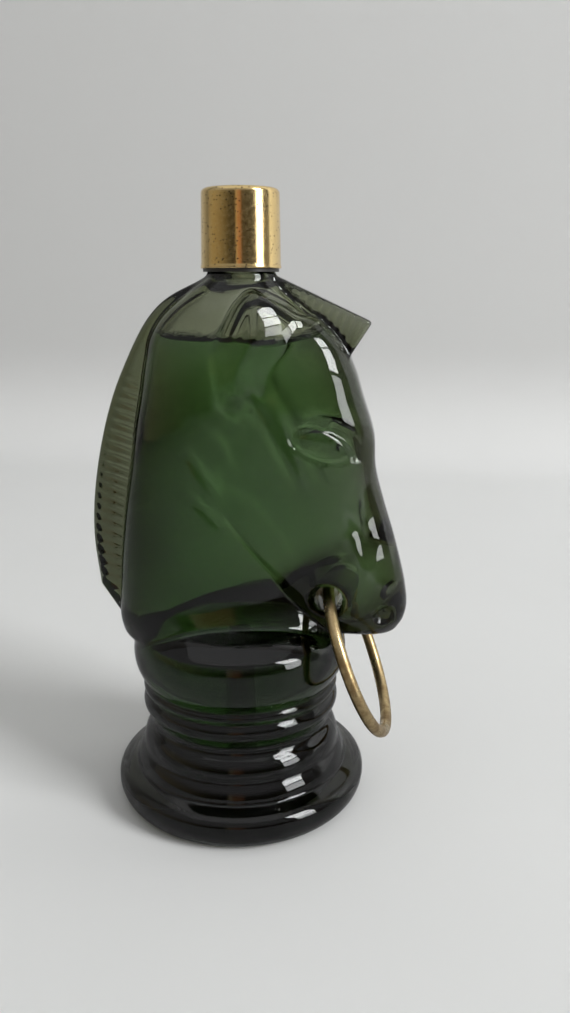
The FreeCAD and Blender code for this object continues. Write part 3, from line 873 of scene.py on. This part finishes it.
def gold_material():
    """Gold-coloured metal, uneven in tone and pitted in patches."""
    made, tree, shader = material("gold_cap_worn")
    place = node(tree, "TexCoord").outputs["Object"]
    shader.inputs["Metallic"].default_value = 1.0
    pits = node(tree, "TexVoronoi", {"Vector": place, "Scale": 1300.0}, feature="F1")
    patch = node(tree, "TexNoise", {"Vector": place, "Scale": 190.0, "Detail": 5.0})
    fine = node(tree, "TexNoise", {"Vector": place, "Scale": 1400.0, "Detail": 3.0})
    dots = fade(tree, pits.outputs["Distance"], 0.16, 0.26, 1.0, 0.0)
    where = fade(tree, patch.outputs[0], 0.41, 0.50)
    worn = maths(tree, "MULTIPLY", dots, where)
    tone = blend(tree, patch.outputs[0], (0.72, 0.50, 0.20, 1), (0.90, 0.70, 0.36, 1))
    tree.links.new(blend(tree, worn, tone, (0.06, 0.04, 0.02, 1)), shader.inputs["Base Color"])
    rough = fade(tree, fine.outputs[0], 0.3, 0.8, 0.13, 0.22)
    tree.links.new(rough, shader.inputs["Roughness"])
    roughen(tree, shader, maths(tree, "MULTIPLY", worn, -1.0), 0.2, 0.00003)
    return made


def brass_material():
    """Aged brass: patina in patches and fine scratches."""
    made, tree, shader = material("brass_ring_aged")
    place = node(tree, "TexCoord").outputs["Object"]
    shader.inputs["Metallic"].default_value = 1.0
    patina = node(tree, "TexNoise", {"Vector": place, "Scale": 260.0, "Detail": 6.0, "Roughness": 0.65})
    scratch = node(tree, "TexNoise", {"Vector": place, "Scale": 1500.0, "Detail": 2.0, "Distortion": 1.5})
    aged = fade(tree, patina.outputs[0], 0.35, 0.7)
    tone = blend(tree, aged, (0.62, 0.48, 0.26, 1), (0.28, 0.19, 0.09, 1))
    tree.links.new(tone, shader.inputs["Base Color"])
    rough = fade(tree, patina.outputs[0], 0.3, 0.75, 0.22, 0.5)
    tree.links.new(rough, shader.inputs["Roughness"])
    roughen(tree, shader, scratch.outputs[0], 0.25, 0.00005)
    return made


def plastic_material():
    """Black plastic with a fine grain."""
    made, tree, shader = material("black_plastic_satin")
    place = node(tree, "TexCoord").outputs["Object"]
    grain = node(tree, "TexNoise", {"Vector": place, "Scale": 900.0, "Detail": 3.0})
    tone = blend(tree, grain.outputs[0], (0.012, 0.011, 0.010, 1), (0.03, 0.028, 0.025, 1))
    tree.links.new(tone, shader.inputs["Base Color"])
    tree.links.new(fade(tree, grain.outputs[0], 0.3, 0.7, 0.3, 0.5), shader.inputs["Roughness"])
    return made


def board_material():
    """Pale board of short fibres."""
    made, tree, shader = material("liner_board_fibre")
    place = node(tree, "TexCoord").outputs["Object"]
    fibre = node(tree, "TexNoise", {"Vector": place, "Scale": 2400.0, "Detail": 5.0, "Distortion": 2.0})
    tone = blend(tree, fibre.outputs[0], (0.62, 0.57, 0.45, 1), (0.86, 0.83, 0.74, 1))
    tree.links.new(tone, shader.inputs["Base Color"])
    shader.inputs["Roughness"].default_value = 0.85
    roughen(tree, shader, fibre.outputs[0], 0.4, 0.00005)
    return made


# Pieces

def bottle():
    """The glass. Where the fill wets its inner wall, light passes from glass to liquid, not to air."""
    points, quads = glass_mesh()
    piece = make_mesh("bottle_glass", points, quads)
    x, y, z = points.T
    inner_wall = np.abs(hollow_form(x, y, z)) < GLASS_WALL_NEAR
    wet = inner_wall & (z < WET_TOP_Z)
    add_number(piece, "ior", np.where(wet, GLASS_IOR / LIQUID_IOR, GLASS_IOR))
    piece.data.materials.append(glass_material())
    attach(piece, "bottle")
    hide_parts("glass_bottle")


def fill():
    """The fill. Its free top bends light, and its sides leave that to the wet glass."""
    points, quads = liquid_mesh()
    piece = make_mesh("bottle_fill", points, quads)
    x, y, z = points.T
    off_wall = hollow_form(x, y, z) < -FILL_WALL_NEAR
    free_top = off_wall & (z > FREE_TOP_Z)
    add_number(piece, "ior", np.where(free_top, LIQUID_IOR, 1.0))
    piece.data.materials.append(liquid_material())
    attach(piece, "bottle")
    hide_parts("aftershave_liquid")


def cap():
    """The gold shell, and the looks of the two CAD pieces inside it."""
    profile = list(CAP_PROFILE)
    edge_z = CAP_TOP_Z - CAP_EDGE_ROUND
    for i in range(1, 9):
        turn = math.pi / 2 * i / 9
        radius = CAP_FLAT_RADIUS + CAP_EDGE_ROUND * math.cos(turn)
        profile.append((radius, edge_z + CAP_EDGE_ROUND * math.sin(turn)))
    profile += [(radius, CAP_TOP_Z - dip) for radius, dip in CAP_DIP]
    piece = lathe("cap_gold_shell", profile)
    piece.data.materials.append(gold_material())
    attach(piece, "cap")
    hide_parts("cap_shell")
    for name, make in (("cap_inner", plastic_material), ("cap_liner", board_material)):
        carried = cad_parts[name]
        carried.data.materials.clear()
        carried.data.materials.append(make())


def ring():
    """The wire ring, hung through the hole and leaning forward."""
    reach = RING_RADIUS - RING_SEAT
    out = np.array((-math.sin(RING_LEAN), 0.0, math.cos(RING_LEAN)))
    centre = np.array((HOLE_X, 0.0, HOLE_Z)) - reach * out
    side = np.array((0.0, 1.0, 0.0))
    axis = np.cross(out, side)
    around, across = 256, 40
    points, faces = [], []
    for i in range(around):
        turn = 2 * math.pi * i / around
        spoke = out * math.cos(turn) + side * math.sin(turn)
        for j in range(across):
            roll = 2 * math.pi * j / across
            away = spoke * (RING_RADIUS + RING_WIRE * math.cos(roll)) + axis * RING_WIRE * math.sin(roll)
            points.append(centre + away)
            a, b = i * across, (i + 1) % around * across
            k = (j + 1) % across
            faces.append((a + j, b + j, b + k, a + k))
    piece = make_mesh("mouth_brass_ring", points, faces)
    piece.data.materials.append(brass_material())
    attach(piece, "ring")
    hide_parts("mouth_ring")


# Stage, light and camera

def stage():
    """Pale floor that curves up into a pale backdrop."""
    profile = [(-STAGE_REACH, 0.0), (-0.6, 0.0), (-0.2, 0.0), (WALL_Y - COVE, 0.0)]
    for i in range(1, 13):
        turn = math.pi / 2 * i / 12
        profile.append((WALL_Y - COVE + COVE * math.sin(turn), COVE - COVE * math.cos(turn)))
    profile.append((WALL_Y, WALL_TOP))
    points, faces = [], []
    for y, z in profile:
        points += [(side * STAGE_REACH / MM, y / MM, z / MM) for side in (-1, 1)]
    for i in range(len(profile) - 1):
        faces.append((2 * i, 2 * i + 1, 2 * i + 3, 2 * i + 2))
    piece = make_mesh("stage_floor", points, faces)
    piece.data.materials.append(stage_material())


def stage_material():
    """Pale paint, dimmer where the glass mirrors the floor, and fading into the backdrop far away."""
    made, tree, shader = material("stage_pale")
    place = node(tree, "TexCoord").outputs["Object"]
    mottle = node(tree, "TexNoise", {"Vector": place, "Scale": 9.0, "Detail": 3.0})
    pale = blend(tree, mottle.outputs[0], (0.72, 0.725, 0.715, 1), (0.76, 0.765, 0.755, 1))
    low = fade(tree, node(tree, "SeparateXYZ", {0: place}).outputs["Z"], 0.0, COVE, 1.0, 0.0)
    rays = node(tree, "LightPath")
    dim = maths(tree, "MULTIPLY", low, rays.outputs["Is Glossy Ray"])
    pale = blend(tree, low, (0.60, 0.602, 0.595, 1), pale)
    tree.links.new(blend(tree, dim, pale, (0.40, 0.40, 0.40, 1)), shader.inputs["Base Color"])
    shader.inputs["Roughness"].default_value = 0.8
    shader.inputs["Specular IOR Level"].default_value = 0.1
    far = node(tree, "VectorMath", {0: place}, operation="LENGTH").outputs["Value"]
    away = maths(tree, "MULTIPLY", fade(tree, far, PALE_FROM, PALE_TO), rays.outputs["Is Camera Ray"])
    haze = node(tree, "Emission", {"Color": BACKDROP_SEEN})
    mixed = node(tree, "MixShader", {0: away, 1: shader.outputs[0], 2: haze.outputs[0]})
    tree.links.new(mixed.outputs[0], tree.nodes["Material Output"].inputs["Surface"])
    return made


def area_light(name, azimuth, elevation, distance, width, height, power):
    """A soft lamp at an azimuth from the camera side, turning to +X, and an elevation."""
    lamp = bpy.data.lights.new(name, "AREA")
    lamp.shape = "RECTANGLE"
    lamp.size, lamp.size_y = width, height
    lamp.energy = power
    lamp.color = DAYLIGHT
    made = bpy.data.objects.new(name, lamp)
    turn, rise = math.radians(azimuth), math.radians(elevation)
    flat = distance * math.cos(rise)
    away = (flat * math.sin(turn), -flat * math.cos(turn), distance * math.sin(rise))
    made.location = [aim + step for aim, step in zip(LAMP_AIM, away)]
    made.rotation_euler = (math.pi / 2 - rise, 0.0, turn)
    made.visible_camera = False
    bpy.context.scene.collection.objects.link(made)


def lights():
    """A window of three panes on the right, and a ceiling."""
    for pane, rise, power in WINDOW_PANES:
        area_light("window_" + pane, WINDOW_AZIMUTH, rise, WINDOW_DISTANCE, PANE_WIDTH, PANE_HEIGHT, power)
    size = CEILING_SIZE
    area_light("ceiling", 0.0, CEILING_ELEVATION, CEILING_DISTANCE, size, size, CEILING_POWER)


def room():
    """The rest of the room: dim in front with a few upright lights, paler above and behind."""
    world = bpy.data.worlds.new("studio")
    bpy.context.scene.world = world
    world.use_nodes = True
    tree = world.node_tree
    shader = tree.nodes["Background"]
    way = node(tree, "SeparateXYZ", {0: node(tree, "TexCoord").outputs["Generated"]})
    behind = fade(tree, way.outputs["Y"], -0.35, 0.35)
    across = node(tree, "MapRange", {0: way.outputs["X"], 1: -1.0, 2: 1.0})
    front = node(tree, "ValToRGB", {0: across.outputs[0]})
    marks = front.color_ramp.elements
    marks[0].color = ROOM_LEFT
    marks[1].color = ROOM_RIGHT
    for place, colour in ROOM_MARKS:
        marks.new(place).color = colour
    upper = fade(tree, way.outputs["Z"], 0.10, 0.45)
    facing = blend(tree, upper, front.outputs[0], ROOM_ABOVE)
    around = blend(tree, behind, facing, ROOM_BEHIND)
    seen = node(tree, "LightPath").outputs["Is Camera Ray"]
    tree.links.new(blend(tree, seen, around, BACKDROP_SEEN), shader.inputs["Color"])


def camera():
    """The photograph's point of view."""
    data = bpy.data.cameras.new("camera")
    data.lens = LENS
    data.sensor_width = 36.0
    data.clip_start = 0.01
    made = bpy.data.objects.new("camera", data)
    made.location = CAMERA_PLACE
    made.rotation_euler = (math.pi / 2 - CAMERA_DIP, 0.0, CAMERA_TURN)
    bpy.context.scene.collection.objects.link(made)
    bpy.context.scene.camera = made


bpy.context.scene.view_settings.view_transform = "Standard"
camera()
bottle()
fill()
cap()
ring()
stage()
lights()
room()
